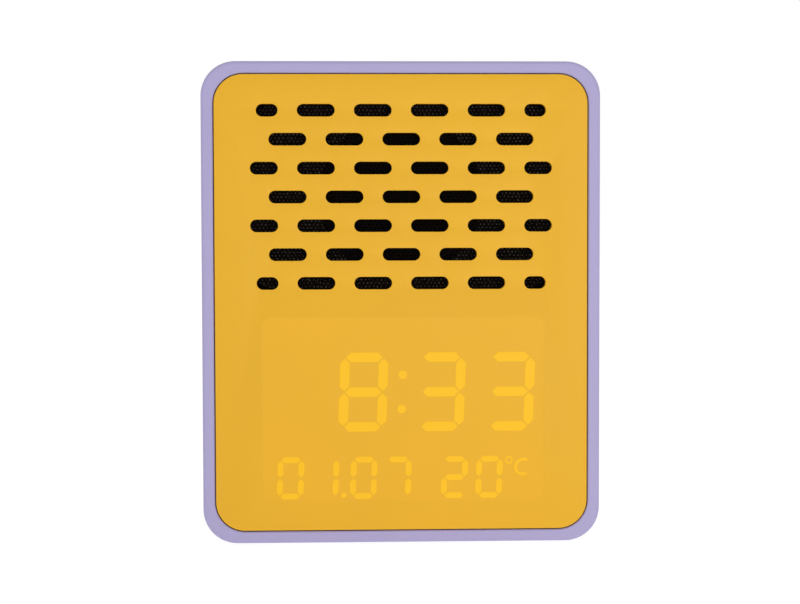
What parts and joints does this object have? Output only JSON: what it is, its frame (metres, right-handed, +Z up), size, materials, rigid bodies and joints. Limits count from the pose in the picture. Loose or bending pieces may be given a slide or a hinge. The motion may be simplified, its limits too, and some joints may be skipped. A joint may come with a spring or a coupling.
{
  "type": "talking clock",
  "caption": "Upright rounded table clock that speaks the time: flush front panel with staggered sound slots over a light display, talk bar on top, controls on the back.",
  "frame": {"origin": "on the table, under the middle of the clock's footprint", "axes": "+Z up, the front faces -Y, +X to the right as seen from the front"},
  "size_m": [0.11, 0.06, 0.1348],
  "materials": {
    "case_plastic": "fine satin moulding",
    "panel_plastic": "fine satin moulding",
    "button_plastic": "satin",
    "black_plastic": "matt",
    "baffle_plastic": "grey, matt",
    "mesh_black": "matt black coat",
    "tape_foam": "matt foam",
    "foot_rubber": "matt",
    "basket_steel": "satin black",
    "zinc_steel": "zinc plated",
    "ferrite": "matt sintered",
    "cone_paper": "matt pressed paper",
    "surround_rubber": "matt",
    "spider_cloth": "woven",
    "copper_wire": "enamelled",
    "former_foil": "foil",
    "film_tint": "translucent film",
    "reflector_plastic": "matt white",
    "resin_lit": "translucent resin, lit",
    "resin_unlit": "translucent resin, unlit",
    "light_chip": "clear cap",
    "board_green": "solder mask",
    "chip_black": "matt epoxy",
    "can_metal": "drawn can",
    "screw_steel": "black zinc",
    "contact_steel": "nickel plated",
    "cell_wrap": "shrink sleeve",
    "nylon_white": "natural nylon",
    "wire_sleeve": "soft insulation",
    "ribbon_grey": "flat cable",
    "bead_epoxy": "dipped epoxy"
  },
  "bodies": {
    "case": {"housing": "case_plastic", "rear_cover": "case_plastic", "rubber_feet": "foot_rubber", "front_panel": "panel_plastic", "panel_tape": "tape_foam", "speaker_mesh": "mesh_black", "baffle": "baffle_plastic", "driver_gasket": "tape_foam", "driver_basket": "basket_steel", "driver_surround": "surround_rubber", "driver_spider": "spider_cloth", "driver_front_plate": "zinc_steel", "driver_magnet": "ferrite", "driver_yoke": "zinc_steel", "driver_terminals": "black_plastic", "display_film": "film_tint", "lit_segments": "resin_lit", "unlit_segments": "resin_unlit", "display_reflector": "reflector_plastic", "display_lights": "light_chip", "display_board": "board_green", "main_board": "board_green", "chips": "chip_black", "capacitors": "can_metal", "switch_bases": "chip_black", "talk_board": "board_green", "slide_switch_case": "contact_steel", "socket_shell": "contact_steel", "socket_tongue": "black_plastic", "temperature_sensor": "bead_epoxy", "battery_cell": "cell_wrap", "battery_holder": "black_plastic", "holder_tape": "tape_foam", "battery_contacts": "contact_steel", "sockets": "nylon_white", "wire_plugs": "nylon_white", "speaker_wires": "wire_sleeve", "talk_wires": "wire_sleeve", "battery_wires": "wire_sleeve", "display_ribbon": "ribbon_grey", "small_screws": "screw_steel", "driver_screws": "screw_steel", "cover_screws": "screw_steel"},
    "talk_button": {"talk_bar": "button_plastic", "talk_plunger": "black_plastic"},
    "plus_key": {"plus_button": "button_plastic", "plus_plunger": "black_plastic"},
    "minus_key": {"minus_button": "button_plastic", "minus_plunger": "black_plastic"},
    "alarm_key": {"alarm_button": "button_plastic", "alarm_plunger": "black_plastic"},
    "mode_key": {"mode_button": "button_plastic", "mode_plunger": "black_plastic"},
    "slider": {"power_slider": "black_plastic", "switch_lever": "black_plastic"},
    "cone": {"speaker_cone": "cone_paper", "dust_cap": "cone_paper", "coil_former": "former_foil", "voice_coil": "copper_wire"}
  },
  "joints": [
    {"name": "talk_press", "type": "slide", "parent": "case", "child": "talk_button", "axis": [0, 0, -1], "range_m": [0, 0.0006], "stiffness_N_per_m": 1800, "springref_m": -0.0003},
    {"name": "plus_press", "type": "slide", "parent": "case", "child": "plus_key", "axis": [0, -1, 0], "range_m": [0, 0.0006], "stiffness_N_per_m": 2000, "springref_m": -0.0003},
    {"name": "minus_press", "type": "slide", "parent": "case", "child": "minus_key", "axis": [0, -1, 0], "range_m": [0, 0.0006], "stiffness_N_per_m": 2000, "springref_m": -0.0003},
    {"name": "alarm_press", "type": "slide", "parent": "case", "child": "alarm_key", "axis": [0, -1, 0], "range_m": [0, 0.0006], "stiffness_N_per_m": 2000, "springref_m": -0.0003},
    {"name": "mode_press", "type": "slide", "parent": "case", "child": "mode_key", "axis": [0, -1, 0], "range_m": [0, 0.0006], "stiffness_N_per_m": 2000, "springref_m": -0.0003},
    {"name": "power_slide", "type": "slide", "parent": "case", "child": "slider", "axis": [1, 0, 0], "range_m": [0, 0.003]},
    {"name": "cone_swing", "type": "slide", "parent": "case", "child": "cone", "axis": [0, -1, 0], "range_m": [-0.0015, 0.0015], "stiffness_N_per_m": 1000, "deforming": ["driver_surround", "driver_spider"]}
  ]
}
